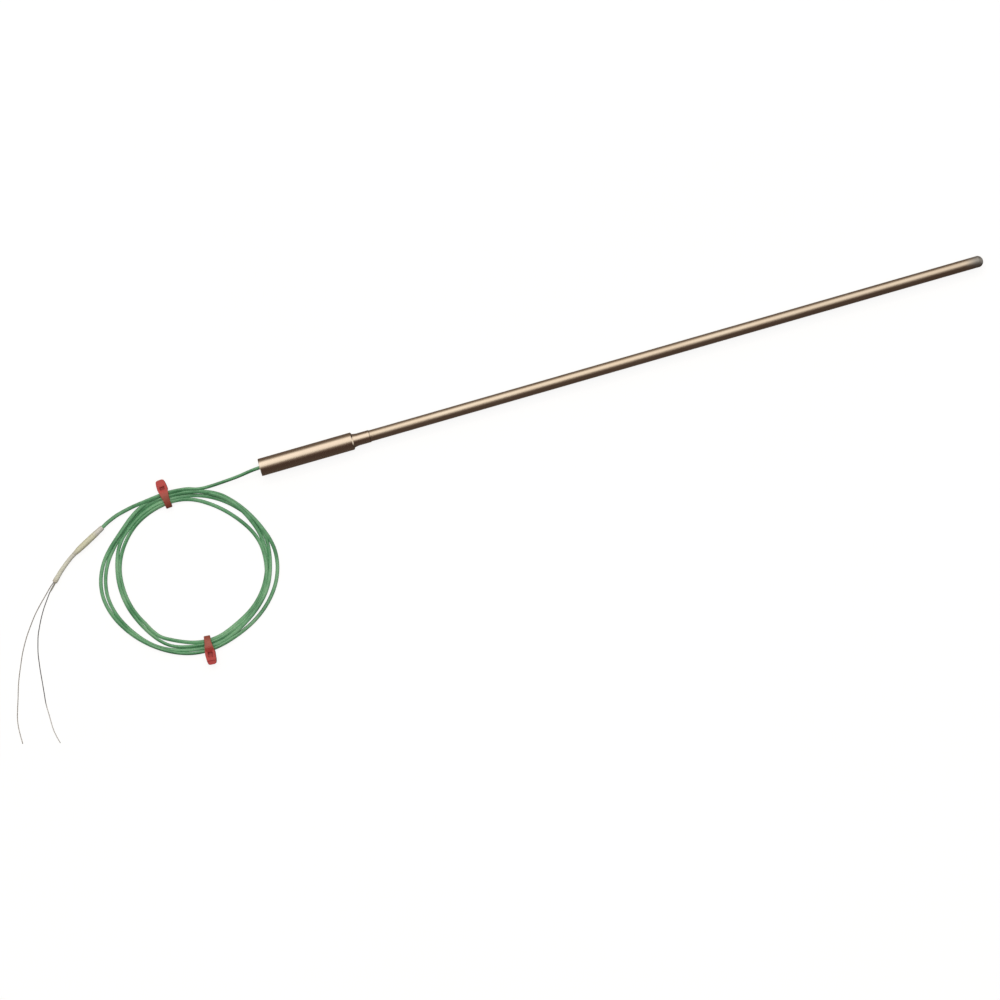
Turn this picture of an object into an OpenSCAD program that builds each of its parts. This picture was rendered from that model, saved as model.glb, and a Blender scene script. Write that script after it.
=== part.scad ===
// Mineral insulated thermocouple probe with a pot seal and a coiled two-core lead.
// Millimetres. The stem lies along +X, and the origin is on its axis where it leaves the neck.

/* [Stem] */
// Outside diameter of the stainless sheath
stem_d = 4.5; // [3:0.5:6]
// Length of stem that stands out of the neck
stem_len = 250; // [100:10:500]
// Wall of the sheath
sheath_wall = 0.5; // [0.3:0.05:0.6]
// Diameter of each conductor in the stem
element_d = 0.8; // [0.4:0.05:0.8]
// Distance between the two conductors' axes
element_pitch = 1.9; // [1.8:0.1:2.1]

/* [Pot seal] */
// Outside diameter of the pot
pot_d = 7; // [7:0.25:9]
// Length of the pot's barrel
pot_len = 38; // [38:1:50]
// Wall of the pot's barrel
pot_wall = 0.55; // [0.4:0.05:0.6]
// Outside diameter of the crimped neck
neck_d = 4.9; // [4.9:0.1:5.4]
// Length of the neck in front of the pot
neck_len = 7; // [6:0.5:8]

/* [Lead] */
// Width of the flat two-core lead
lead_w = 1.5; // [1.3:0.05:1.6]
// Thickness of the lead
lead_t = 1.05; // [0.9:0.05:1.1]
// Radius of the coil at the outside of its main bundle
coil_outer_r = 32.4; // [32:0.1:32.4]
// Height of the coil lying on a table
coil_h = 3.1; // [2.5:0.1:3.1]
// Diameter of each bare tail wire
tail_wire_d = 0.35; // [0.3:0.05:0.5]

/* [Cable ties] */
// Width of the strap
strap_w = 2.5; // [2.2:0.1:2.6]
// Thickness of the strap
strap_t = 1; // [0.8:0.1:1]
// Width of the tie's head
head_w = 3.9; // [3.6:0.1:4.2]
// Length of the tie's head
head_len = 4.7; // [4.4:0.1:4.7]

/* [Hidden] */

$fn = 48;
eps = 0.01;

// Surface that the probe lies on
table_z = -pot_d / 2;

// Stem
sheath_id = stem_d - 2 * sheath_wall;
crimped_d = stem_d - 0.4;
crimped_id = crimped_d - 2 * sheath_wall;
crimp_end_x = 0.3;
dome_r = stem_d / 2 + 0.05;
weld_x = stem_len - 2;
plug_x = weld_x - 1.6;
bead_r = 1.35;
bead_x = plug_x - 2.9;
element_y = element_pitch / 2;

// Pot
pot_front_x = -neck_len;
pot_rear_x = pot_front_x - pot_len;
pot_id = pot_d - 2 * pot_wall;
pot_chamfer = 0.4;
pot_rear_break = 0.15;
bush_depth = 5;
bush_rear_x = pot_front_x - bush_depth;
sheath_rear_x = bush_rear_x - 3;
end_seal_len = 2;

// Splices between the stem's conductors and the lead's
splice_x = sheath_rear_x - 7;
splice_half = 2.5;
splice_d = 1.2;
splice_sleeve_half = 3.5;
splice_sleeve_d = 1.7;

// Lead's two cores inside the pot
jacket_end_x = pot_rear_x + 4;
core_d = 0.6;
core_start = [splice_x - splice_half, element_y, 0];
core_end = [jacket_end_x, 0.33, 0];
core_step = (core_start - core_end) / norm(core_start - core_end);
crimp_bore = tail_wire_d + 0.25;

// Rear plug
plug_recess = 0.3;
plug_clearance = 0.1;

// Routes of the lead and of what is on its end
exit_route = [[jacket_end_x, 0, 0], [pot_rear_x, 0, 0], [-49, -0.3, -0.1], [-53.5, -1, -0.6],
              [-57, -1.3, -1.1], [-60, -1.5, -1.5], [-63, -1.8, -1.8], [-65.5, -1.9, -1.9]];
tail_route = [[-95, -0.7, -2.6], [-98, -1.1, -2.8], [-101, -1.7, -2.9], [-104, -2.4, -2.9],
              [-106.5, -3.3, -2.8], [-109, -4.4, -2.6], [-111, -5.5, -2.4]];
sleeve_route = [[-111, -5.5, -2.4], [-114.5, -7.3, -2.3], [-118, -9.1, -2.3], [-121.5, -10.9, -2.3],
                [-124.5, -12.5, -2.4]];
core_sleeve_route = [[-124.5, -12.5, -2.4], [-127, -14.1, -2.5], [-129.5, -16, -2.6],
                     [-132, -18.1, -2.7], [-135, -21, -2.7]];
wire_pos_route = [[-135.2, -20.8, -2.7], [-137.2, -22.4, -2.8], [-140, -25.1, -3], [-143, -28, -3.1],
                  [-146, -31.2, -3.2], [-148.5, -34.4, -3.3], [-151, -37.8, -3.3], [-153, -41, -3.3],
                  [-155, -44.6, -3.3], [-157, -49, -3.3], [-158.5, -52.4, -3.3], [-160, -56.3, -3.3],
                  [-161.5, -61, -3.3], [-163, -65.5, -3.3], [-164, -69, -3.3], [-164.5, -73, -3.3],
                  [-164.6, -78.5, -3.3]];
wire_neg_route = [[-134.8, -21.2, -2.7], [-136.4, -22.8, -2.8], [-138, -24.4, -2.9], [-140, -27, -3],
                  [-142, -29.8, -3.1], [-144, -33.1, -3.2], [-145.5, -36, -3.3], [-147, -39.2, -3.3],
                  [-148, -42.3, -3.3], [-149, -46, -3.3], [-149.5, -49, -3.3], [-150, -52.5, -3.3],
                  [-150.5, -57, -3.3], [-151, -61.5, -3.3], [-151.5, -66, -3.3], [-151.5, -71, -3.3],
                  [-151.5, -76, -3.3], [-151, -79.5, -3.3], [-150.3, -82.3, -3.3]];
sleeve_d = 2.2;
core_sleeve_w = 1.7;
core_sleeve_t = 1.5;

// Coil: a flat ring whose outline bulges where turns stray outwards
coil_centre = [-81.5, -31];
coil_bore_r = 26.5;
coil_bore_shift = 1;
coil_bore_angle = 229;
far_bulge_r = 30;
far_bulge_shift = 7.2;
far_bulge_angle = 179;
near_bulge_r = 30.5;
near_bulge_shift = 3.4;
near_bulge_angle = -18;

// Cable ties: [angle round the coil, inner side of the strap, outer end of the head], radii from the centre
tie_1 = [94.5, 25.7, 37.3];
tie_2 = [266, 26.7, 38.2];
tie_top_z = -0.3;
tie_clearance = 0.1;
head_top_z = -0.1;
head_corner = 0.8;
slot_from_end = 3;
slot_gap = 0.3;
strap_bend_outer = 1.5;
strap_bend_inner = 0.6;

STEEL = [0.80, 0.74, 0.66];
GREEN = [0.33, 0.59, 0.39];
RED = [0.75, 0.24, 0.24];
CREAM = [0.78, 0.76, 0.65];
WIRE = [0.62, 0.62, 0.62];

// A round bar along X
module rod(x0, x1, d) {
    translate([x0, 0, 0])
        rotate([0, 90, 0])
            cylinder(h = x1 - x0, d = d);
}

// A round bar along X with a round hole through it
module pipe(x0, x1, d, bore) {
    difference() {
        rod(x0, x1, d);
        rod(x0 - 1, x1 + 1, bore);
    }
}

// A body turned about X from [radius, x] points
module turned(profile) {
    rotate([0, 90, 0])
        rotate_extrude()
            polygon(profile);
}

// A round bar between two points
module link(a, b, d) {
    v = b - a;
    translate(a)
        rotate([0, acos(v[2] / norm(v)), atan2(v[1], v[0])])
            cylinder(h = norm(v), d = d);
}

// A rectangle with round corners, from its lower left corner
module round_rect(w, h, r) {
    translate([r, 0])
        square([w - 2 * r, h]);
    translate([0, r])
        square([w, h - 2 * r]);
    for (x = [r, w - r], y = [r, h - r])
        translate([x, y])
            circle(r);
}

// Direction of a route at one of its points
function heading(route, i) =
    let (v = route[min(i + 1, len(route) - 1)] - route[max(i - 1, 0)])
    v / norm(v);

// One ring of a swept oval, with flat sides at half the width and half the thickness
function ring(route, i, w, t, sides) =
    let (ahead = heading(route, i))
    let (across = cross([0, 0, 1], ahead))
    let (side = across / norm(across))
    let (up = cross(ahead, side))
    let (reach = 1 / cos(180 / sides))
    [for (k = [0 : sides - 1])
        let (a = 360 * (k + 0.5) / sides)
        route[i] + side * (w / 2 * reach * cos(a)) + up * (t / 2 * reach * sin(a))];

// An oval cord along a route
module cord(route, w, t, sides = 8) {
    rings = len(route);
    points = [for (i = [0 : rings - 1]) each ring(route, i, w, t, sides)];
    walls = [for (i = [0 : rings - 2], k = [0 : sides - 1])
        let (a = i * sides + k)
        let (b = i * sides + (k + 1) % sides)
        each [[a, b, a + sides], [b, b + sides, a + sides]]];
    first = [for (k = [sides - 1 : -1 : 0]) k];
    last = [for (k = [0 : sides - 1]) (rings - 1) * sides + k];
    polyhedron(points, concat([first], walls, [last]));
}

module sheath() {
    color(STEEL)
        difference() {
            union() {
                rod(0, weld_x, stem_d);
                rod(sheath_rear_x, eps, crimped_d);
            }
            rod(sheath_rear_x - 1, weld_x, crimped_id);
            rod(crimp_end_x, weld_x + 1, sheath_id);
        }
}

module tip_weld() {
    color(STEEL)
        rotate([0, 90, 0])
            rotate_extrude() {
                translate([0, plug_x])
                    square([sheath_id / 2, weld_x - plug_x]);
                intersection() {
                    translate([0, weld_x])
                        square([stem_d / 2, stem_len - weld_x]);
                    translate([0, stem_len - dome_r])
                        circle(dome_r);
                }
            }
}

module element(side) {
    translate([0, side * element_y, 0])
        rod(splice_x, bead_x, element_d);
}

module bead() {
    translate([bead_x, 0, 0])
        sphere(bead_r);
}

module mgo_core() {
    color("white")
        difference() {
            union() {
                rod(crimp_end_x, plug_x, sheath_id);
                rod(sheath_rear_x, crimp_end_x + eps, crimped_id);
            }
            element(1);
            element(-1);
            bead();
        }
}

module thermoelement(side) {
    color(WIRE)
        difference() {
            element(side);
            bead();
        }
}

module thermoelement_pos() {
    thermoelement(1);
}

module thermoelement_neg() {
    thermoelement(-1);
}

module hot_junction() {
    color(WIRE)
        bead();
}

module end_seal() {
    color("sienna")
        difference() {
            rod(sheath_rear_x - end_seal_len, sheath_rear_x, crimped_d);
            element(1);
            element(-1);
        }
}

module neck_bush() {
    bore = crimped_d / 2;
    body = pot_id / 2;
    neck = neck_d / 2;
    color(STEEL)
        turned([[bore, bush_rear_x], [body, bush_rear_x], [body, pot_front_x],
                [neck + 0.3, pot_front_x + 0.1], [neck + 0.15, pot_front_x + 0.8],
                [neck, pot_front_x + 1.8], [neck, -0.3], [stem_d / 2 + 0.05, 0], [bore, 0]]);
}

module pot_barrel() {
    outer = pot_d / 2;
    inner = pot_id / 2;
    color(STEEL)
        turned([[inner, pot_rear_x], [outer - pot_rear_break, pot_rear_x],
                [outer, pot_rear_x + pot_rear_break], [outer, pot_front_x - pot_chamfer],
                [outer - pot_chamfer, pot_front_x], [inner, pot_front_x]]);
}

// Mirrors its children to the positive or the negative side
module on_side(side) {
    mirror([0, side < 0 ? 1 : 0, 0])
        children();
}

module potting_resin() {
    color("darkgoldenrod")
        difference() {
            rod(jacket_end_x, bush_rear_x, pot_id);
            rod(sheath_rear_x - end_seal_len, bush_rear_x + 1, crimped_d);
            for (side = [1, -1]) {
                element(side);
                on_side(side) {
                    translate([0, element_y, 0])
                        rod(splice_x - splice_sleeve_half, splice_x + splice_sleeve_half, splice_sleeve_d);
                    link(core_end - core_step, core_start + core_step, core_d);
                }
            }
        }
}

module rear_plug() {
    slot_w = lead_w + plug_clearance;
    slot_t = lead_t + plug_clearance;
    color("dimgray")
        difference() {
            rod(pot_rear_x + plug_recess, jacket_end_x, pot_id);
            translate([pot_rear_x - 1, 0, 0])
                rotate([90, 0, 90])
                    linear_extrude(jacket_end_x - pot_rear_x + 2) {
                        square([slot_w - slot_t, slot_t], center = true);
                        for (side = [1, -1])
                            translate([side * (slot_w - slot_t) / 2, 0])
                                circle(d = slot_t);
                    }
        }
}

module splice(side) {
    color("silver")
        translate([0, side * element_y, 0]) {
            pipe(splice_x, splice_x + splice_half, splice_d, element_d);
            pipe(splice_x - splice_half, splice_x, splice_d, crimp_bore);
        }
}

module splice_pos() {
    splice(1);
}

module splice_neg() {
    splice(-1);
}

module splice_sleeve(side) {
    color("ivory")
        translate([0, side * element_y, 0])
            pipe(splice_x - splice_sleeve_half, splice_x + splice_sleeve_half, splice_sleeve_d, splice_d);
}

module splice_sleeve_pos() {
    splice_sleeve(1);
}

module splice_sleeve_neg() {
    splice_sleeve(-1);
}

module lead_conductor(side) {
    color(WIRE)
        on_side(side)
            link(core_end, core_start + 2 * core_step, tail_wire_d);
}

module lead_conductor_pos() {
    lead_conductor(1);
}

module lead_conductor_neg() {
    lead_conductor(-1);
}

module lead_insulation(side) {
    color(side > 0 ? GREEN : "white")
        on_side(side)
            difference() {
                link(core_end, core_start, core_d);
                link(core_end - core_step, core_start + core_step, tail_wire_d);
            }
}

module lead_insulation_pos() {
    lead_insulation(1);
}

module lead_insulation_neg() {
    lead_insulation(-1);
}

module lead_exit() {
    color(GREEN)
        cord(exit_route, lead_w, lead_t);
}

// Moves its children off the coil's centre in one direction
module shifted(distance, angle) {
    translate([distance * cos(angle), distance * sin(angle)])
        children();
}

// Places its children at a tie: X outwards from the coil's centre, Z up from the table
module at_tie(tie) {
    translate([coil_centre[0], coil_centre[1], table_z])
        rotate([0, 0, tie[0]])
            children();
}

// The closed loop of a tie's strap, grown on every side by a clearance
module strap_loop(tie, clearance = 0) {
    u_in = tie[1];
    u_out = tie[2] - slot_from_end;
    top = tie_top_z - table_z + strap_t;
    c = clearance;
    translate([0, strap_w / 2 + c, 0])
        rotate([90, 0, 0])
            linear_extrude(strap_w + 2 * c)
                difference() {
                    translate([u_in - c, -c])
                        round_rect(u_out - u_in + 2 * c, top + 2 * c, strap_bend_outer);
                    translate([u_in + strap_t + c, strap_t + c])
                        round_rect(u_out - u_in - 2 * strap_t - 2 * c, top - 2 * strap_t - 2 * c, strap_bend_inner);
                }
}

// Outline of the coil from above, round its centre
module coil_outline() {
    difference() {
        union() {
            circle(coil_outer_r);
            shifted(far_bulge_shift, far_bulge_angle)
                circle(far_bulge_r);
            shifted(near_bulge_shift, near_bulge_angle)
                circle(near_bulge_r);
        }
        shifted(coil_bore_shift, coil_bore_angle)
            circle(coil_bore_r);
    }
}

module lead_coil() {
    color(GREEN)
        difference() {
            translate([coil_centre[0], coil_centre[1], table_z])
                linear_extrude(coil_h)
                    coil_outline();
            for (tie = [tie_1, tie_2])
                at_tie(tie)
                    strap_loop(tie, tie_clearance);
        }
}

module lead_tail() {
    color(GREEN)
        cord(tail_route, lead_w, lead_t);
}

// A cable tie: a strap closed into a loop through a slotted head
module cable_tie(tie) {
    head_h = head_top_z - table_z;
    u_out = tie[2];
    u_in = u_out - head_len;
    slot_u = u_out - slot_from_end - strap_t - slot_gap;
    color(RED)
        at_tie(tie) {
            difference() {
                translate([u_in, -head_w / 2, 0])
                    linear_extrude(head_h)
                        round_rect(head_len, head_w, head_corner);
                translate([slot_u, -strap_w / 2 - slot_gap / 2, -1])
                    cube([strap_t + 2 * slot_gap, strap_w + slot_gap, head_h + 2]);
            }
            strap_loop(tie);
        }
}

module cable_tie_1() {
    cable_tie(tie_1);
}

module cable_tie_2() {
    cable_tie(tie_2);
}

module tail_sleeve() {
    color(CREAM)
        cord(sleeve_route, sleeve_d, sleeve_d);
}

module core_sleeve() {
    color(CREAM)
        cord(core_sleeve_route, core_sleeve_w, core_sleeve_t);
}

module tail_wire_pos() {
    color(WIRE)
        cord(wire_pos_route, tail_wire_d, tail_wire_d);
}

module tail_wire_neg() {
    color(WIRE)
        cord(wire_neg_route, tail_wire_d, tail_wire_d);
}

sheath();
tip_weld();
mgo_core();
thermoelement_pos();
thermoelement_neg();
hot_junction();
end_seal();
neck_bush();
pot_barrel();
potting_resin();
rear_plug();
splice_pos();
splice_neg();
splice_sleeve_pos();
splice_sleeve_neg();
lead_conductor_pos();
lead_conductor_neg();
lead_insulation_pos();
lead_insulation_neg();
lead_exit();
lead_coil();
lead_tail();
cable_tie_1();
cable_tie_2();
tail_sleeve();
core_sleeve();
tail_wire_pos();
tail_wire_neg();
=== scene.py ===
"""A mineral insulated thermocouple on a pale table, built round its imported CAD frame.

The scene is in metres, in the row frame: the stem lies along +X, and the table is below it.
The lead, its wires and its ties are written in millimetres, as in the CAD source, and MM turns
them into metres.
"""

import math

import bmesh
import bpy
import numpy as np
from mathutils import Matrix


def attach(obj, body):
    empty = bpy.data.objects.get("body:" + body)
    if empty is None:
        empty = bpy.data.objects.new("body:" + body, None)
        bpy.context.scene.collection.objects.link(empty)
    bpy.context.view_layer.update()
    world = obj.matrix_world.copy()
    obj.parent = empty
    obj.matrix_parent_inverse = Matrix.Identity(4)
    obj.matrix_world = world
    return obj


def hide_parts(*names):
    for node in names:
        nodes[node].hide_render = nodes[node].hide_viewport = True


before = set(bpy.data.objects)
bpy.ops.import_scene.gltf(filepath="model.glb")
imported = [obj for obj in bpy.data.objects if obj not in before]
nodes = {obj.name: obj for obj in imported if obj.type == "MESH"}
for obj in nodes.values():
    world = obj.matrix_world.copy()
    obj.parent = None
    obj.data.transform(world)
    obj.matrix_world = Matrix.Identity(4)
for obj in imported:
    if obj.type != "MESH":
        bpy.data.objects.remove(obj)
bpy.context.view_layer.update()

MM = 0.001
TABLE_Z = -3.5 * MM


def linked_object(name, data):
    """A new object in the scene."""
    obj = bpy.data.objects.new(name, data)
    bpy.context.scene.collection.objects.link(obj)
    return obj


# ---------------------------------------------------------------- camera

VIEW_CENTRE = (42.0 * MM, -38.2 * MM)
VIEW_WIDTH = 392.2 * MM
VIEW_ROLL = -16.01
LENS = 200.0
SENSOR = 36.0

camera_data = bpy.data.cameras.new("camera")
camera_data.lens = LENS
camera_data.sensor_width = SENSOR
camera_data.clip_start = 0.05
camera_data.clip_end = 20.0
camera = linked_object("camera", camera_data)
# the camera is as high as makes the view that wide, and looks straight down
camera.location = (*VIEW_CENTRE, VIEW_WIDTH * LENS / SENSOR)
camera.rotation_euler = (0.0, 0.0, math.radians(VIEW_ROLL))
bpy.context.scene.camera = camera
bpy.context.scene.view_settings.view_transform = "Standard"

# ---------------------------------------------------------------- lines and sweeps


def respace(line, step):
    """The line again, with evenly spaced points about step apart."""
    lengths = np.linalg.norm(np.diff(line, axis=0), axis=1)
    along = np.concatenate([[0.0], np.cumsum(lengths)])
    marks = np.linspace(0.0, along[-1], max(2, round(along[-1] / step) + 1))
    return np.column_stack([np.interp(marks, along, line[:, k]) for k in range(line.shape[1])])


def smooth_line(points, step):
    """Evenly spaced points on a smooth curve through the given ones."""
    pieces_per_stretch = 12
    p = np.array(points, float)
    p = np.vstack([2 * p[0] - p[1], p, 2 * p[-1] - p[-2]])
    share = np.linspace(0.0, 1.0, pieces_per_stretch, endpoint=False)[:, None]
    runs = []
    for a, b, c, d in zip(p[:-3], p[1:-2], p[2:-1], p[3:]):
        runs.append(b + 0.5 * share * (c - a + share * (2 * a - 5 * b + 4 * c - d
                                                        + share * (3 * b - a - 3 * c + d))))
    return respace(np.vstack([*runs, p[-2:-1]]), step)


def softened(values, half_width):
    """The values with a smooth bell-shaped average taken along them."""
    window = np.hanning(2 * half_width + 3)[1:-1]
    padded = np.pad(values, half_width, mode="edge")
    return np.convolve(padded, window / window.sum(), mode="valid")


def unit(vectors):
    """The vectors, each made one unit long."""
    return vectors / np.linalg.norm(vectors, axis=-1, keepdims=True)


def smooth_mesh(name, points, faces):
    """A smooth-shaded mesh from points and faces."""
    mesh = bpy.data.meshes.new(name)
    mesh.from_pydata([tuple(p) for p in points], [], faces)
    mesh.update()
    mesh.shade_smooth()
    return mesh


def piece(name, points, faces, along):
    """A new piece that rides on the root body. Its material can read along, a value a point."""
    mesh = smooth_mesh(name, points, faces)
    layer = mesh.attributes.new("along", "FLOAT", "POINT")
    layer.data.foreach_set("value", np.asarray(along, np.float32))
    obj = linked_object(name, mesh)
    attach(obj, "root")
    return obj


def wall_faces(count, sides):
    """The faces between each ring of points and the next."""
    faces = []
    for i in range(count - 1):
        for k in range(sides):
            a, b = i * sides + k, i * sides + (k + 1) % sides
            faces.append((a, a + sides, b + sides, b))
    return faces


def tube_faces(count, sides):
    """The walls between the rings, and a cap on the first ring and on the last."""
    first = tuple(range(sides))
    last = tuple(range(count * sides - 1, (count - 1) * sides - 1, -1))
    return [first, last, *wall_faces(count, sides)]


def swept(name, line, sections):
    """A closed tube whose ring at each point of the line is that point's section.

    A section is a list of (sideways, upwards) offsets. Sideways is level with the table.
    """
    tangent = unit(np.gradient(line, axis=0))
    side = unit(np.cross(tangent, (0.0, 0.0, 1.0)))
    up = np.cross(side, tangent)
    rings = line[:, None] + sections[..., :1] * side[:, None] + sections[..., 1:] * up[:, None]
    count, sides = sections.shape[:2]
    along = np.repeat(np.linspace(0.0, 1.0, count), sides)
    return piece(name, rings.reshape(-1, 3), tube_faces(count, sides), along)


def evenly_round(sides):
    """That many angles, evenly spaced round a circle."""
    return np.arange(sides) * 2 * math.pi / sides


def turned_by(section, angles):
    """The section turned about its middle by each of the angles."""
    c, s = np.cos(angles)[:, None], np.sin(angles)[:, None]
    x, y = section[:, 0], section[:, 1]
    return np.stack([c * x - s * y, s * x + c * y], axis=-1)


# ---------------------------------------------------------------- routes
# The sleeves' and the wires' routes are the CAD source's. The lead's first route is eased by a few
# tenths of a millimetre to run on into its coil, and its last has one more point in its sleeve.

EXIT_ROUTE = [(-41, 0, 0), (-45, 0, 0), (-49, -0.3, -0.1), (-53.5, -0.9, -0.6), (-57, -1.2, -1.1),
              (-60.5, -1.4, -1.5), (-64.5, -1.6, -1.7), (-68.5, -1.6, -1.7), (-71.6, -1.2, -1.6)]
TAIL_ROUTE = [(-95, -0.7, -2.6), (-98, -1.1, -2.8), (-101, -1.7, -2.9), (-104, -2.4, -2.9),
              (-106.5, -3.3, -2.8), (-109, -4.4, -2.6), (-111, -5.5, -2.4), (-112.8, -6.4, -2.4)]
SLEEVE_ROUTE = [(-111, -5.5, -2.4), (-114.5, -7.3, -2.3), (-118, -9.1, -2.3),
                (-121.5, -10.9, -2.3), (-124.5, -12.5, -2.4)]
CORE_SLEEVE_ROUTE = [(-124.5, -12.5, -2.4), (-127, -14.1, -2.5), (-129.5, -16, -2.6),
                     (-132, -18.1, -2.7), (-135, -21, -2.7)]
WIRE_POS_ROUTE = [(-135.2, -20.8, -2.7), (-137.2, -22.4, -2.8), (-140, -25.1, -3),
                  (-143, -28, -3.1), (-146, -31.2, -3.2), (-148.5, -34.4, -3.3),
                  (-151, -37.8, -3.3), (-153, -41, -3.3), (-155, -44.6, -3.3),
                  (-157, -49, -3.3), (-158.5, -52.4, -3.3), (-160, -56.3, -3.3),
                  (-161.5, -61, -3.3), (-163, -65.5, -3.3), (-164, -69, -3.3),
                  (-164.5, -73, -3.3), (-164.6, -78.5, -3.3)]
WIRE_NEG_ROUTE = [(-134.8, -21.2, -2.7), (-136.4, -22.8, -2.8), (-138, -24.4, -2.9),
                  (-140, -27, -3), (-142, -29.8, -3.1), (-144, -33.1, -3.2),
                  (-145.5, -36, -3.3), (-147, -39.2, -3.3), (-148, -42.3, -3.3),
                  (-149, -46, -3.3), (-149.5, -49, -3.3), (-150, -52.5, -3.3),
                  (-150.5, -57, -3.3), (-151, -61.5, -3.3), (-151.5, -66, -3.3),
                  (-151.5, -71, -3.3), (-151.5, -76, -3.3), (-151, -79.5, -3.3),
                  (-150.3, -82.3, -3.3)]

# ---------------------------------------------------------------- the green lead

LEAD_W = 1.5
LEAD_T = 1.05
LEAD_STEP = 0.7
COIL_CENTRE = np.array([-81.5, -31.0])
COIL_START = 71.0
COIL_SWEEP = 1473.0
COIL_R = 31.75
TURN_SHRINK = 1.33
COIL_MEAN_R = 30.6
# Angle from the coil's start, and how far the lead strays outwards there from an even spiral
STRAYS = [(0, 0), (10, -0.3), (20, -0.2), (35, 0.1), (65, -0.1), (75, 1.1), (85, 3), (95, 4.5),
          (108, 5.7), (122, 5.2), (135, 4.1), (150, 3.1), (165, 2.5), (180, 2.2), (190, 1.7),
          (200, 1.1), (210, 0.5), (220, 0.2), (235, 0.7), (250, 1.5), (265, 2.4), (280, 2.7),
          (290, 2.3), (305, 0.9), (320, 0.4), (335, 0.5), (345, 0.9), (355, 0.2),
          (365, -0.1), (380, -0.4), (395, 0.3), (425, 0.9), (435, 1.4), (445, 2.8), (455, 4),
          (470, 5.2), (485, 4.9), (500, 4.1), (515, 3.9), (525, 3.3), (532, 2.6), (540, 2),
          (550, 1.6), (565, 0.9), (580, 0.2), (590, -0.2), (605, 0.2), (620, 0.9), (633, 1),
          (642, 1.3), (650, 1.8), (658, 2.1), (668, 1.6), (678, 0.9), (693, 0.3), (710, 0),
          (725, -0.2), (740, -0.2), (758, 0.3), (770, 0.5), (780, 0.7), (790, 1.4), (798, 1.4),
          (808, 0.9), (825, 0.7), (845, 0.8), (858, 1), (866, 1.5), (875, 2.1), (884, 3),
          (893, 2.6), (902, 1.8), (910, 1.6), (920, 1.2), (935, 0.3), (950, 0.4), (965, 1),
          (980, 1.2), (1000, 0.8), (1015, 0.5), (1028, -0.5), (1040, -1.4), (1053, -1.7),
          (1068, -1.4), (1080, -0.6), (1092, 0), (1113, 0.1), (1123, 0.3), (1131, 0.5),
          (1138, 0.7), (1150, 0.8), (1163, 1.1), (1175, 1.2), (1190, 0.9), (1215, 1), (1226, 1.1),
          (1236, 2.7), (1244, 1.8), (1255, 1.6), (1265, 1.8), (1275, 1.7), (1285, 1.5),
          (1293, 0.8), (1302, 0.5), (1312, 0.7), (1325, 1.3), (1340, 1.9), (1355, 2.4),
          (1368, 2.9), (1380, 3.2), (1390, 3.2), (1400, 3.4), (1410, 4), (1425, 4.1), (1440, 4),
          (1452, 4.6), (1465, 5.4), (1475, 6.1)]
# Stretches of the lead, as angles from the coil's start, that lie over all the other turns
ON_TOP = [(1380, 1425), (1458, 1600)]
# How far the lead's slow twist turns it (radians), over what length (millimetres), from what phase
TWISTS = [(0.5, 31.0, 0.8), (0.35, 12.5, 0.0), (0.25, 57.0, 2.0)]
STRAP_T = 1.0
STRAP_REACH = 1.6
# Angle round the coil, inner side of the strap, outer end of the head
TIE_1 = (94.5, 25.7, 37.3)
TIE_2 = (266.0, 26.7, 38.2)


def around_coil(radius, degrees):
    """Points round the coil's centre, in millimetres."""
    turn = np.radians(degrees)
    return COIL_CENTRE + np.stack([radius * np.cos(turn), radius * np.sin(turn)], axis=-1)


def coil_points():
    """The lead's four turns: a slowly closing spiral with the strays added."""
    swept_angle = np.arange(0.0, COIL_SWEEP + 1.0, 2.0)
    stray = softened(np.interp(swept_angle, *np.array(STRAYS, float).T), 5)
    radius = COIL_R - TURN_SHRINK * swept_angle / 360.0 + stray
    return around_coil(radius, COIL_START + swept_angle)


def strap_lift(points):
    """How far a tie's strap, which lies on the table, lifts what crosses it."""
    lift = np.zeros(len(points))
    for angle, inner, outer in (TIE_1, TIE_2):
        direction = np.array([math.cos(math.radians(angle)), math.sin(math.radians(angle))])
        local = points[:, :2] - COIL_CENTRE
        outwards = local @ direction
        beside = np.abs(local @ (-direction[1], direction[0]))
        lift[(beside < STRAP_REACH) & (outwards > inner) & (outwards < outer)] = STRAP_T
    return lift


def stacked(line, rests_on, laid_late):
    """Heights of a lead laid from its far end back to its start, each turn on those below it.

    The points marked in laid_late are laid last, over everything else.
    """
    # points this near along the lead are its own stretch, and not a turn that it crosses
    clear_of_itself = 14
    # a turn is held up within this reach of another, and by at most this rise
    reach = 1.32
    rise = 1.08
    count = len(line)
    far_end_first = np.arange(count)[::-1]
    order = [*far_end_first[~laid_late[far_end_first]], *far_end_first[laid_late[far_end_first]]]
    heights = rests_on.copy()
    for _ in range(3):
        laid = np.zeros(count, bool)
        for i in order:
            gap = np.linalg.norm(line[:, :2] - line[i, :2], axis=1) / reach
            near = laid & (gap < 1.0)
            near[max(0, i - clear_of_itself):i + clear_of_itself] = False
            if near.any():
                held = heights[near] + rise * np.sqrt(1.0 - gap[near] ** 2)
                heights[i] = max(heights[i], held.max())
            laid[i] = True
        heights = np.maximum(softened(heights, 5), rests_on)
    return softened(heights, 3)


def twist_at(run):
    """The lead's slow twist, in radians, at a distance along it in millimetres."""
    return sum(turn * np.sin(run / length + phase) for turn, length, phase in TWISTS)


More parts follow.
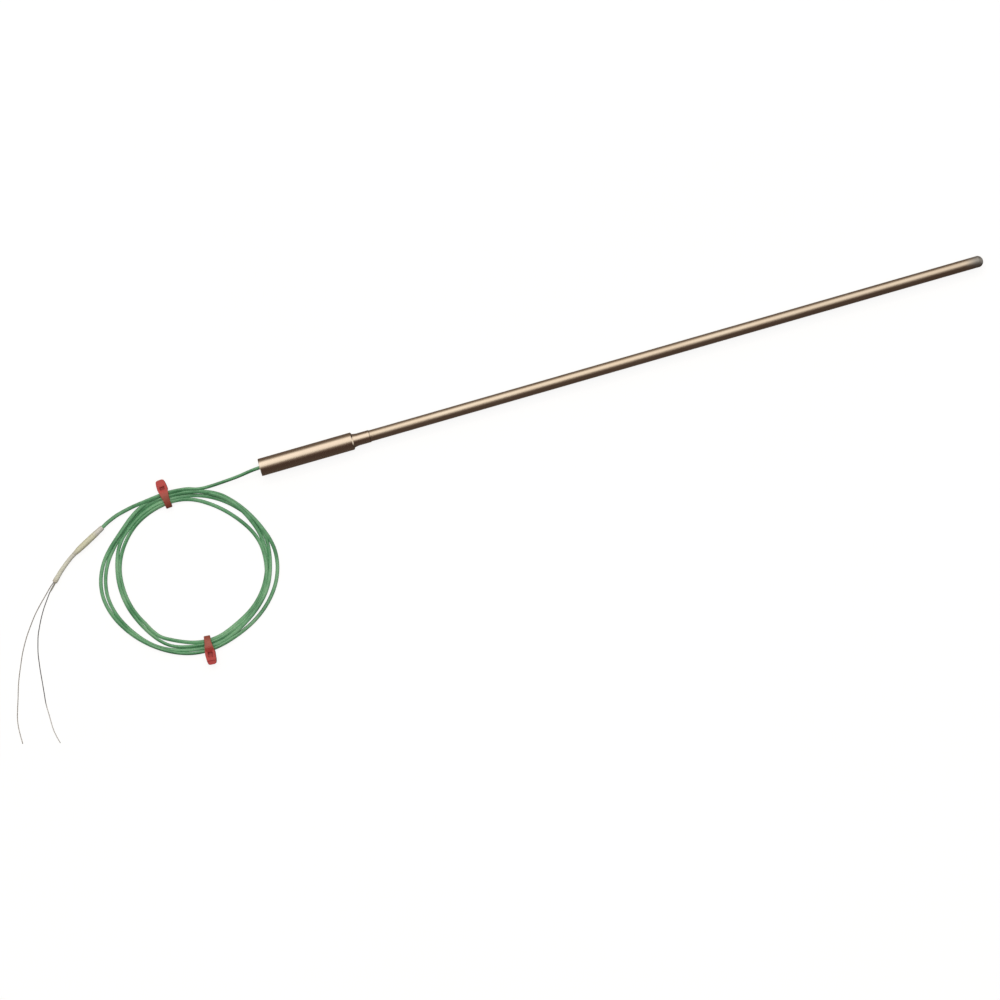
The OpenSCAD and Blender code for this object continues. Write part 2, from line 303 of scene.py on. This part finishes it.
def lead_line():
    """The lead's centreline, from inside the pot to inside the sleeve, in metres."""
    table_rest = TABLE_Z / MM + LEAD_T / 2
    # every fourth point, and none right at the ends, where the routes take over
    turns = coil_points()[3:-4:4]
    turns = np.column_stack([turns, np.full(len(turns), table_rest)])
    # a point a millimetre, so a point's number is also how far along the lead it is
    line = smooth_line([*EXIT_ROUTE, *turns, *TAIL_ROUTE], 1.0)
    run = np.arange(len(line))
    before_coil = len(smooth_line(EXIT_ROUTE, 1.0))
    turned = np.degrees((run - before_coil) / COIL_MEAN_R)
    laid_late = np.any([(turned > low) & (turned < high) for low, high in ON_TOP], axis=0)
    # a lead that is twisted on edge stands higher, once it is clear of the pot
    clear_of_pot = np.clip(run / 25.0 - 1.0, 0, 1)
    on_edge = (LEAD_W - LEAD_T) / 2 * np.abs(np.sin(twist_at(run))) * clear_of_pot
    line[:, 2] = stacked(line, line[:, 2] + strap_lift(line) + on_edge, laid_late)
    return respace(line * MM, LEAD_STEP * MM)


def lead_section(sides=20):
    """Outline of the lead: two cores side by side under one jacket, with a faint waist."""
    waist_depth = 0.05
    waist_w = 0.2
    angle = evenly_round(sides)
    core = LEAD_T / 2
    x = core * np.cos(angle) + np.sign(np.round(np.cos(angle), 6)) * (LEAD_W / 2 - core)
    y = core * np.sin(angle) * (1.0 - waist_depth * np.exp(-((x / waist_w) ** 2)))
    return np.column_stack([x, y]) * MM


lead_path = lead_line()
lead = swept("green_lead", lead_path,
             turned_by(lead_section(), twist_at(np.arange(len(lead_path)) * LEAD_STEP)))

# ---------------------------------------------------------------- sleeves and bare wires


def oval_sections(widths, heights, sides=24):
    """Round or oval outlines, one for each width and height."""
    angle = evenly_round(sides)
    return np.stack([np.outer(widths, np.cos(angle)), np.outer(heights, np.sin(angle))], axis=-1) / 2


def sleeve(name, route, sizes, flatness):
    """A soft sleeve along a route, whose width follows (share of its length, millimetres)."""
    line = smooth_line(route, 0.25) * MM
    share = np.linspace(0.0, 1.0, len(line))
    width = softened(np.interp(share, *np.array(sizes).T) * MM, 3)
    # faint lumps, such as a thin sleeve has where it clings to what is in it
    ripple = 1.0 + 0.012 * np.sin(share * 37.0) + 0.01 * np.sin(share * 83.0 + 1.0)
    width[1:-1] *= ripple[1:-1]
    return swept(name, line, oval_sections(width, width * flatness))


tail_sleeve = sleeve("tail_sleeve_cover", SLEEVE_ROUTE,
                     [(0, 1.85), (0.03, 2.1), (0.15, 2.15), (0.25, 2.4), (0.6, 2.45),
                      (0.85, 2.3), (0.97, 1.8), (1, 1.75)], 0.95)
core_sleeve = sleeve("core_sleeve_cover", CORE_SLEEVE_ROUTE,
                     [(0, 1.7), (0.4, 1.68), (0.8, 1.85), (0.96, 2.05), (1, 1.95)], 0.85)

WIRE_D = 0.35
WIRE_STEP = 0.5
WIRE_INSIDE = 1.2


def bare_wire(name, route, stub_d, stub_len):
    """A bare solid wire that starts a little way inside its sleeve.

    Some insulation is left on it next to the sleeve: stub_d thick at first, and stub_len long.
    """
    inside = np.array(route[0]) - WIRE_INSIDE * unit(np.array(route[1], float) - route[0])
    line = smooth_line([inside, *route], WIRE_STEP) * MM
    from_sleeve = WIRE_STEP * np.arange(len(line)) - WIRE_INSIDE
    size = np.interp(from_sleeve, [0, stub_len - 1, stub_len], [stub_d, 0.85 * stub_d, WIRE_D]) * MM
    return swept(name, line, oval_sections(size, size, 10)), line


wire_pos, wire_pos_path = bare_wire("bare_wire_pos", WIRE_POS_ROUTE, 0.42, 3.0)
wire_neg, wire_neg_path = bare_wire("bare_wire_neg", WIRE_NEG_ROUTE, 0.7, 4.5)

# ---------------------------------------------------------------- cable ties

# A tie's own frame has u outwards from the coil's centre, v along the bundle, and z up
STRAP_W = 2.5
STRAP_STEP = 0.16
HEAD_TOP = 0.3
HEAD_START = 31.6
SHOULDER_U = 33.4
SLOT_W = 1.9
END_SLOPE_LEN = 1.6
END_SLOPE_DROP = 0.35
HEAD_BEVEL = 0.16
BUNDLE_R = 32.7
BUNDLE_TOP = -0.35
# For the cutters: a distance sideways that is past the head, and a height that is above it
PAST_HEAD = 3
ABOVE_HEAD = 1
# How much each side of the strap widens, by the distance back from its end in the head
STRAP_FLARE = [(0, 0.65), (1.6, 0.5), (3.4, 0.15), (5, 0)]
TOOTH_DEPTH = 0.1
STEPS_A_TOOTH = 5
TOOTHED_HALF_W = 0.9


def rounded(corners, radius, steps=5, closed=True):
    """The corners of a line in a plane, each rounded by an arc-like curve."""
    c = np.array(corners, float)
    out = []
    for i, point in enumerate(c):
        if not closed and i in (0, len(c) - 1):
            out.append(point)
            continue
        # a corner takes just under half of the way to each of its neighbours at most
        before, after = c[i - 1] - point, c[(i + 1) % len(c)] - point
        a = point + min(radius, np.linalg.norm(before) / 2.05) * unit(before)
        b = point + min(radius, np.linalg.norm(after) / 2.05) * unit(after)
        for t in np.linspace(0.0, 1.0, steps):
            out.append((1 - t) ** 2 * a + 2 * t * (1 - t) * point + t ** 2 * b)
    return np.array(out)


def tie_place(points, angle):
    """Points in a tie's own frame, in the row frame."""
    turn = math.radians(angle)
    out = np.array([math.cos(turn), math.sin(turn)])
    side = np.array([-out[1], out[0]])
    plane = COIL_CENTRE + points[:, :1] * out + points[:, 1:2] * side
    return np.column_stack([plane, points[:, 2]]) * MM


def prism(outline, low, high):
    """A bmesh of a plane outline between two heights."""
    bm = bmesh.new()
    bottom = [bm.verts.new((x, y, low)) for x, y in outline]
    top = [bm.verts.new((x, y, high)) for x, y in outline]
    bm.faces.new(bottom[::-1])
    bm.faces.new(top)
    for i in range(len(outline)):
        k = (i + 1) % len(outline)
        bm.faces.new((bottom[i], bottom[k], top[k], top[i]))
    return bm


def scratch_object(name, bm):
    """An object from a bmesh, only for use by modifiers."""
    mesh = bpy.data.meshes.new(name)
    bm.to_mesh(mesh)
    bm.free()
    return linked_object(name, mesh)


def block(low, high):
    """A rectangular outline from two opposite corners."""
    return [(low[0], low[1]), (high[0], low[1]), (high[0], high[1]), (low[0], high[1])]


def tie_head(outer_end, recess):
    """Points and faces of a tie's head. recess is the inner and outer end and depth of its slot."""
    floor_z = TABLE_Z / MM
    half = [(HEAD_START, 1.65), (SHOULDER_U, 2.07), (outer_end - 1.2, 1.85), (outer_end, 1.4)]
    outline = rounded([(u, -v) for u, v in half] + half[::-1], 0.9)
    head = scratch_object("head", prism(outline, floor_z, HEAD_TOP))
    inner, outer, depth = recess
    slot_outline = rounded(block((inner, -SLOT_W / 2), (outer, SLOT_W / 2)), 0.25, 3)
    slot = scratch_object("slot", prism(slot_outline, HEAD_TOP - depth, ABOVE_HEAD))
    bundle_outline = block((0, -PAST_HEAD), (BUNDLE_R, PAST_HEAD))
    bundle = scratch_object("bundle", prism(bundle_outline, floor_z - 1, BUNDLE_TOP))
    slope_outline = block((outer_end - END_SLOPE_LEN, -PAST_HEAD), (outer_end + 1, PAST_HEAD))
    end_slope = scratch_object("end_slope",
                               prism(slope_outline, HEAD_TOP - END_SLOPE_DROP, ABOVE_HEAD))
    for cutter in (slot, bundle, end_slope):
        cut = head.modifiers.new("cut", "BOOLEAN")
        cut.object = cutter
        cut.operation = "DIFFERENCE"
        cut.solver = "EXACT"
    bevel = head.modifiers.new("bevel", "BEVEL")
    bevel.width = HEAD_BEVEL
    bevel.segments = 3
    bevel.limit_method = "ANGLE"
    bevel.angle_limit = math.radians(40)
    shape = head.evaluated_get(bpy.context.evaluated_depsgraph_get()).to_mesh()
    points = np.array([v.co for v in shape.vertices])
    faces = [tuple(f.vertices) for f in shape.polygons]
    for scratch in (head, slot, bundle, end_slope):
        bpy.data.objects.remove(scratch)
    return points, faces


def tie_strap(inner, slot_u):
    """A tie's strap, from the head's foot round the bundle to the head's top.

    Returns its points, its faces and how far each point is from the head, up to 1.
    """
    middle = STRAP_T / 2
    low = TABLE_Z / MM + middle
    # (u, z) from the slot down to the table, in under the bundle, up and back over it
    corners = [(slot_u, low + 1.2), (slot_u, low), (inner + middle, low), (inner + middle, -1.3),
               (inner + 2.1, 0.0), (inner + 4.4, 0.4), (HEAD_START, 0.25), (33.0, BUNDLE_TOP)]
    line = respace(rounded(corners, 1.5, 9, closed=False), STRAP_STEP)
    tangent = unit(np.gradient(line, axis=0))
    # the normal points out of the loop
    normal = np.column_stack([-tangent[:, 1], tangent[:, 0]])
    profile = rounded(block((-STRAP_W / 2, -middle), (STRAP_W / 2, middle)), 0.3, 4)
    count, sides = len(line), len(profile)
    teeth = TOOTH_DEPTH * (np.arange(count) % STEPS_A_TOOTH) / (STEPS_A_TOOTH - 1)
    from_end = STRAP_STEP * np.arange(count)[::-1]
    flare = 1.0 + np.interp(from_end, *np.array(STRAP_FLARE).T) * 2 / STRAP_W
    points = []
    for centre, out, tooth, wider in zip(line, normal, teeth, flare):
        for v, n in profile:
            # the teeth are cut into the inner face
            depth = tooth if n < 0 and abs(v) < TOOTHED_HALF_W else 0.0
            u, z = centre + (n + depth) * out
            points.append((u, v * wider, z))
    return np.array(points), tube_faces(count, sides), np.repeat(np.clip(from_end / 3.0, 0, 1), sides)


def cable_tie(name, tie, recess):
    """A closed cable tie round the coil."""
    angle, inner, outer_end = tie
    head_points, head_faces = tie_head(outer_end, recess)
    strap_points, strap_faces, strap_share = tie_strap(inner, (recess[0] + recess[1]) / 2)
    shift = len(head_points)
    points = np.vstack([head_points, strap_points])
    faces = head_faces + [tuple(i + shift for i in f) for f in strap_faces]
    duller = np.concatenate([np.zeros(shift), strap_share])
    obj = piece(name, tie_place(points, angle), faces, duller)
    bm = bmesh.new()
    bm.from_mesh(obj.data)
    bmesh.ops.recalc_face_normals(bm, faces=bm.faces)
    bm.to_mesh(obj.data)
    bm.free()
    obj.data.set_sharp_from_angle(angle=math.radians(35))
    return obj


# The last three numbers are the slot's inner end, its outer end and its depth
tie_1 = cable_tie("red_tie_1", TIE_1, (33.2, 34.5, 1.7))
tie_2 = cable_tie("red_tie_2", TIE_2, (32.3, 35.3, 1.8))

# ---------------------------------------------------------------- materials


def put(tree, kind, values=None, **settings):
    """A new shader node. values are its inputs: a socket is linked, and anything else is set."""
    node = tree.nodes.new(kind)
    for key, value in settings.items():
        setattr(node, key, value)
    for key, value in (values or {}).items():
        if isinstance(value, bpy.types.NodeSocket):
            tree.links.new(value, node.inputs[key])
        else:
            node.inputs[key].default_value = value
    return node


def new_material(name):
    """An empty material and its node tree."""
    mat = bpy.data.materials.new(name)
    mat.use_nodes = True
    mat.node_tree.nodes.clear()
    return mat, mat.node_tree


def grain(tree, frequency, detail=3.0, roughness=0.5):
    """Noise whose frequency, per metre, is given along each axis."""
    place = put(tree, "ShaderNodeTexCoord").outputs["Object"]
    stretched = put(tree, "ShaderNodeMapping", {"Vector": place, "Scale": frequency})
    return put(tree, "ShaderNodeTexNoise",
               {"Vector": stretched.outputs["Vector"], "Scale": 1.0, "Detail": detail,
                "Roughness": roughness}).outputs["Fac"]


def blend_colours(tree, share, stops):
    """A colour ramp. stops are (place, colour)."""
    ramp = put(tree, "ShaderNodeValToRGB", {"Fac": share})
    while len(ramp.color_ramp.elements) < len(stops):
        ramp.color_ramp.elements.new(0.5)
    for element, (place, colour) in zip(ramp.color_ramp.elements, stops):
        element.position = place
        element.color = (*colour, 1.0)
    return ramp.outputs["Color"]


def scaled(tree, value, low, high, start=0.0, end=1.0):
    """The value carried from low..high to start..end, held at the ends."""
    return put(tree, "ShaderNodeMapRange",
               {"Value": value, "From Min": low, "From Max": high, "To Min": start,
                "To Max": end}).outputs["Result"]


def finish_material(mat, tree, values, bump=None, depth=0.0):
    """Adds the surface shader, with a bump of that depth in metres if there is one."""
    if bump is not None:
        values["Normal"] = put(tree, "ShaderNodeBump",
                               {"Height": bump, "Strength": 1.0, "Distance": depth}).outputs["Normal"]
    shader = put(tree, "ShaderNodeBsdfPrincipled", values)
    put(tree, "ShaderNodeOutputMaterial", {"Surface": shader.outputs["BSDF"]})
    return mat


def mixed(tree, share, first, second):
    """Two colours mixed by a share that varies over the surface."""
    node = put(tree, "ShaderNodeMix", {"Factor": share}, data_type="RGBA")
    for socket, value in ((node.inputs[6], first), (node.inputs[7], second)):
        if isinstance(value, bpy.types.NodeSocket):
            tree.links.new(value, socket)
        else:
            socket.default_value = (*value, 1.0)
    return node.outputs[2]


# Where along the stem its colour starts to darken towards the tip as painted shade, and where its
# heat-greyed tip starts, in metres
SHADE_PAINTED_FROM, SHADE_PAINTED_TO = 0.1, 0.25
GREYS_FROM, GREYS_TO = 0.2425, 0.2475


def steel(name, light, dark, fine, blotch, rough, depth, tip=False):
    """Bright warm steel with fine marks of the given frequency and soft tonal blotches.

    With tip, it is darkened along the stem towards the tip as painted shade, and is grey and dull
    where the weld's heat reached.
    """
    mat, tree = new_material(name)
    marks = grain(tree, fine, 4.0, 0.6)
    tone = grain(tree, blotch, 3.0)
    colour = blend_colours(tree, tone, [(0.3, dark), (0.7, light)])
    roughness = scaled(tree, marks, 0.3, 0.7, rough - 0.05, rough + 0.07)
    if tip:
        place = put(tree, "ShaderNodeTexCoord").outputs["Object"]
        x = put(tree, "ShaderNodeSeparateXYZ", {"Vector": place}).outputs["X"]
        wander = scaled(tree, tone, 0.3, 0.7, -0.0012, 0.0012)
        edge = put(tree, "ShaderNodeMath", {0: x, 1: wander}, operation="ADD").outputs[0]
        # painted shade: the stem's colour is darkened towards its tip
        painted_shade = scaled(tree, x, SHADE_PAINTED_FROM, SHADE_PAINTED_TO, 0.0, 0.6)
        colour = mixed(tree, painted_shade, colour, (0.68, 0.6, 0.51))
        heated = scaled(tree, edge, GREYS_FROM, GREYS_TO)
        colour = mixed(tree, heated, colour, (0.56, 0.56, 0.55))
        duller = scaled(tree, heated, 0, 1, 0, 0.25)
        roughness = put(tree, "ShaderNodeMath", {0: roughness, 1: duller},
                        operation="ADD").outputs[0]
    return finish_material(mat, tree, {"Base Color": colour, "Metallic": 1.0,
                                       "Roughness": roughness}, marks, depth)


def plain(name, stops, frequency, rough, bump_frequency, depth, metallic=0.0, specular=0.5):
    """A material whose colour wanders between stops, with a fine bump."""
    mat, tree = new_material(name)
    tone = grain(tree, frequency)
    fine = grain(tree, bump_frequency, 3.0, 0.6)
    values = {"Base Color": blend_colours(tree, tone, stops), "Metallic": metallic,
              "Roughness": scaled(tree, fine, 0.3, 0.7, rough - 0.05, rough + 0.05),
              "Specular IOR Level": specular}
    return finish_material(mat, tree, values, fine, depth)


SHEATH_STEEL = steel("drawn_sheath_steel", (0.93, 0.84, 0.72), (0.86, 0.75, 0.62),
                     (35.0, 2600.0, 2600.0), (60.0, 300.0, 300.0), 0.34, 0.000004, tip=True)
POT_STEEL = steel("turned_pot_steel", (0.95, 0.86, 0.75), (0.88, 0.77, 0.66),
                  (5200.0, 160.0, 160.0), (40.0, 120.0, 120.0), 0.22, 0.000003)
GREEN_JACKET = plain("green_jacket", [(0.32, (0.08, 0.29, 0.13)), (0.5, (0.14, 0.41, 0.2)),
                                      (0.68, (0.22, 0.5, 0.27))],
                     (110.0, 110.0, 400.0), 0.28, (1800.0, 1800.0, 1800.0), 0.000006,
                     specular=0.9)


def nylon():
    """Red nylon, duller along the strap, which the "along" attribute marks with 1."""
    mat, tree = new_material("red_nylon")
    tone = grain(tree, (260.0, 260.0, 260.0))
    fine = grain(tree, (2500.0, 2500.0, 2500.0), 3.0, 0.6)
    head = blend_colours(tree, tone, [(0.25, (0.48, 0.045, 0.045)), (0.75, (0.58, 0.075, 0.065))])
    strap = blend_colours(tree, tone, [(0.25, (0.33, 0.075, 0.05)), (0.75, (0.42, 0.11, 0.08))])
    along = put(tree, "ShaderNodeAttribute", attribute_name="along").outputs["Fac"]
    return finish_material(mat, tree, {"Base Color": mixed(tree, along, head, strap),
                                       "Roughness": scaled(tree, fine, 0.3, 0.7, 0.34, 0.46)},
                           fine, 0.000008)


RED_NYLON = nylon()
WIRE_BRIGHT = plain("bright_alloy_wire", [(0.3, (0.72, 0.71, 0.68)), (0.7, (0.84, 0.83, 0.8))],
                    (150.0, 150.0, 150.0), 0.35, (3000.0, 3000.0, 3000.0), 0.000002, metallic=1.0)


def sleeve_material(name, start, middle, end):
    """Soft cream sleeving whose colour changes along its length."""
    mat, tree = new_material(name)
    along = put(tree, "ShaderNodeAttribute", attribute_name="along").outputs["Fac"]
    colour = blend_colours(tree, along, [(0.0, start), (0.2, start), (0.32, middle),
                                         (0.85, middle), (1.0, end)])
    tone = grain(tree, (500.0, 500.0, 500.0))
    colour = mixed(tree, scaled(tree, tone, 0.3, 0.8, 0.0, 0.35), colour, (0.8, 0.79, 0.64))
    fine = grain(tree, (1600.0, 1600.0, 1600.0), 3.0, 0.6)
    return finish_material(mat, tree, {"Base Color": colour, "Roughness": 0.45}, fine, 0.00002)


CREAM_SLEEVE = sleeve_material("cream_sleeve", (0.66, 0.66, 0.62), (0.69, 0.7, 0.52),
                               (0.6, 0.6, 0.52))
CORE_SLEEVE = sleeve_material("pale_core_sleeve", (0.66, 0.67, 0.6), (0.71, 0.73, 0.63),
                              (0.52, 0.48, 0.4))


def wire_material(name, stub_until, dark_until):
    """Dark bare wire with some grey insulation left on its start, bright towards its tip.

    The insulation ends and the bright wire starts at these shares of the wire's length.
    """
    mat, tree = new_material(name)
    along = put(tree, "ShaderNodeAttribute", attribute_name="along").outputs["Fac"]
    tone = grain(tree, (300.0, 300.0, 300.0))
    dark = blend_colours(tree, tone, [(0.3, (0.06, 0.058, 0.055)), (0.7, (0.11, 0.105, 0.1))])
    bright = blend_colours(tree, tone, [(0.3, (0.6, 0.59, 0.57)), (0.7, (0.72, 0.71, 0.69))])
    past_dark = scaled(tree, along, dark_until - 0.02, dark_until + 0.02)
    past_stub = scaled(tree, along, stub_until - 0.01, stub_until)
    colour = mixed(tree, past_dark, dark, bright)
    colour = mixed(tree, past_stub, (0.36, 0.36, 0.3), colour)
    return finish_material(mat, tree, {"Base Color": colour, "Metallic": 0.3, "Roughness": 0.4},
                           tone, 0.000004)


WIRE_NEG = wire_material("oxidised_alloy_wire", 0.085, 0.76)

# Inside the stem and the pot
PACKED_OXIDE = plain("packed_oxide", [(0.3, (0.8, 0.8, 0.77)), (0.7, (0.9, 0.9, 0.88))],
                     (900.0, 900.0, 900.0), 0.9, (4000.0, 4000.0, 4000.0), 0.00003)
BROWN_EPOXY = plain("brown_epoxy", [(0.3, (0.3, 0.13, 0.06)), (0.7, (0.42, 0.2, 0.1))],
                    (300.0, 300.0, 300.0), 0.25, (900.0, 900.0, 900.0), 0.00002)
DARK_RESIN = plain("dark_resin", [(0.3, (0.05, 0.045, 0.04)), (0.7, (0.09, 0.08, 0.07))],
                   (400.0, 400.0, 400.0), 0.4, (1500.0, 1500.0, 1500.0), 0.00003)
PLATED_CRIMP = plain("plated_crimp", [(0.3, (0.66, 0.65, 0.62)), (0.7, (0.78, 0.77, 0.74))],
                     (500.0, 500.0, 500.0), 0.3, (2500.0, 2500.0, 2500.0), 0.000006, metallic=1.0)
WOVEN_FIBRE = plain("woven_fibre", [(0.35, (0.7, 0.68, 0.6)), (0.65, (0.86, 0.84, 0.77))],
                    (2500.0, 900.0, 900.0), 0.8, (3500.0, 1500.0, 1500.0), 0.00006)
WHITE_CORE = plain("white_core", [(0.3, (0.8, 0.8, 0.77)), (0.7, (0.88, 0.88, 0.85))],
                   (300.0, 300.0, 300.0), 0.4, (1500.0, 1500.0, 1500.0), 0.00001)

CAD_FINISHES = [
    (SHEATH_STEEL, ["sheath", "tip_weld"]),
    (POT_STEEL, ["neck_bush", "pot_barrel"]),
    (PACKED_OXIDE, ["mgo_core"]),
    (BROWN_EPOXY, ["end_seal"]),
    (DARK_RESIN, ["potting_resin", "rear_plug"]),
    (PLATED_CRIMP, ["splice_pos", "splice_neg"]),
    (WOVEN_FIBRE, ["splice_sleeve_pos", "splice_sleeve_neg"]),
    (GREEN_JACKET, ["lead_insulation_pos"]),
    (WHITE_CORE, ["lead_insulation_neg"]),
    (WIRE_BRIGHT, ["thermoelement_pos", "thermoelement_neg", "hot_junction",
                   "lead_conductor_pos", "lead_conductor_neg"]),
]


def paint(obj, mat):
    """Gives every material slot of an object this material."""
    obj.data.materials.clear()
    obj.data.materials.append(mat)


for mat, names in CAD_FINISHES:
    for name in names:
        paint(nodes[name], mat)
for obj, mat in ((lead, GREEN_JACKET), (tail_sleeve, CREAM_SLEEVE), (core_sleeve, CORE_SLEEVE),
                 (wire_pos, WIRE_BRIGHT), (wire_neg, WIRE_NEG), (tie_1, RED_NYLON),
                 (tie_2, RED_NYLON)):
    paint(obj, mat)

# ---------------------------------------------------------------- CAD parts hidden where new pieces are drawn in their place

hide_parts("lead_exit", "lead_coil", "lead_tail")
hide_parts("tail_sleeve")
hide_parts("core_sleeve")
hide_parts("tail_wire_pos")
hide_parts("tail_wire_neg")
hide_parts("cable_tie_1")
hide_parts("cable_tie_2")

# ---------------------------------------------------------------- stage and light


def revolved(name, profile, sides=96, filled=False):
    """A surface of revolution about the view's centre. profile is (radius, height)."""
    points = []
    for radius, height in profile:
        for turn in evenly_round(sides):
            points.append((VIEW_CENTRE[0] + radius * math.cos(turn),
                           VIEW_CENTRE[1] + radius * math.sin(turn), height))
    faces = wall_faces(len(profile), sides)
    if filled:
        faces.insert(0, tuple(range(sides)))
    return linked_object(name, smooth_mesh(name, points, faces))


def pale_material(name, shade, glow):
    """A matt pale surface that glows a little, so that shadows on it stay faint."""
    mat, tree = new_material(name)
    tone = grain(tree, (3.0, 3.0, 3.0))
    colour = blend_colours(tree, tone, [(0.3, (shade - 0.01,) * 3), (0.7, (shade + 0.01,) * 3)])
    return finish_material(mat, tree, {"Base Color": colour, "Roughness": 0.9,
                                       "Specular IOR Level": 0.0, "Emission Color": (1, 1, 1, 1),
                                       "Emission Strength": glow})


FLOOR_R = 1.3
floor = revolved("floor", [(0.6, TABLE_Z), (FLOOR_R, TABLE_Z)], filled=True)
backdrop = revolved("backdrop", [(FLOOR_R, TABLE_Z), (2.6, TABLE_Z), (3.0, 0.06), (3.3, 0.2),
                                 (3.5, 0.5), (3.6, 1.0), (3.6, 3.0)])
paint(floor, pale_material("pale_floor", 0.2, 0.86))
paint(backdrop, pale_material("pale_backdrop", 0.2, 0.87))
# the object is lit by the lamps and the world alone, and shows only the world in its reflections
for surface in (floor, backdrop):
    surface.visible_glossy = False
    surface.visible_diffuse = False
backdrop.visible_shadow = False

world = bpy.data.worlds.new("studio")
bpy.context.scene.world = world
world.use_nodes = True
sky = world.node_tree
sky.nodes.clear()
direction = put(sky, "ShaderNodeTexCoord").outputs["Generated"]
axes = put(sky, "ShaderNodeSeparateXYZ", {"Vector": direction})
tilt = put(sky, "ShaderNodeMath", {0: axes.outputs["Y"], 1: axes.outputs["Z"]},
           operation="ARCTAN2").outputs[0]
# Degrees from overhead, towards +Y, and the colour that comes from there
SOFTBOX = [(-180, (0.10, 0.075, 0.06)), (-100, (0.07, 0.05, 0.04)), (-30, (0.06, 0.036, 0.027)),
           (-10, (0.2, 0.15, 0.12)), (8, (0.85, 0.78, 0.68)), (23, (1.05, 0.96, 0.85)),
           (57, (1.1, 1.0, 0.88)), (76, (0.42, 0.35, 0.28)), (91, (0.14, 0.105, 0.08)),
           (180, (0.10, 0.075, 0.06))]
round_share = scaled(sky, tilt, -math.pi, math.pi)
glow = blend_colours(sky, round_share, [((angle + 180) / 360, colour) for angle, colour in SOFTBOX])
# the softbox is long but not endless, so faces turned towards the stem's ends are darker
endwise = put(sky, "ShaderNodeMath", {0: axes.outputs["X"]}, operation="ABSOLUTE").outputs[0]
strength = scaled(sky, endwise, 0.35, 0.8, 1.0, 0.3)
softbox = put(sky, "ShaderNodeBackground", {"Color": glow, "Strength": strength})
# two pale panels, one beyond each end of the stem, light its chamfers and its tip
end_panels = put(sky, "ShaderNodeBackground", {"Color": (0.8, 0.75, 0.68, 1.0),
                                               "Strength": scaled(sky, endwise, 0.86, 0.97)})
both = put(sky, "ShaderNodeAddShader", {0: softbox.outputs[0], 1: end_panels.outputs[0]})
put(sky, "ShaderNodeOutputWorld", {"Surface": both.outputs[0]})


def area_light(name, place, size, power):
    """A soft white square light that faces the object and shows in no reflection."""
    data = bpy.data.lights.new(name, "AREA")
    data.shape = "SQUARE"
    data.size = size
    data.energy = power
    lamp = linked_object(name, data)
    lamp.location = place
    aim = np.array([*VIEW_CENTRE, 0.0]) - place
    yaw = math.atan2(aim[1], aim[0])
    pitch = math.atan2(-aim[2], math.hypot(aim[0], aim[1]))
    lamp.rotation_euler = (0.0, math.pi / 2 - pitch, yaw)
    lamp.visible_glossy = False


area_light("key", (0.1, 1.9, 2.3), 1.6, 40.0)
area_light("overhead", (0.1, 0.1, 4.0), 4.0, 63.0)
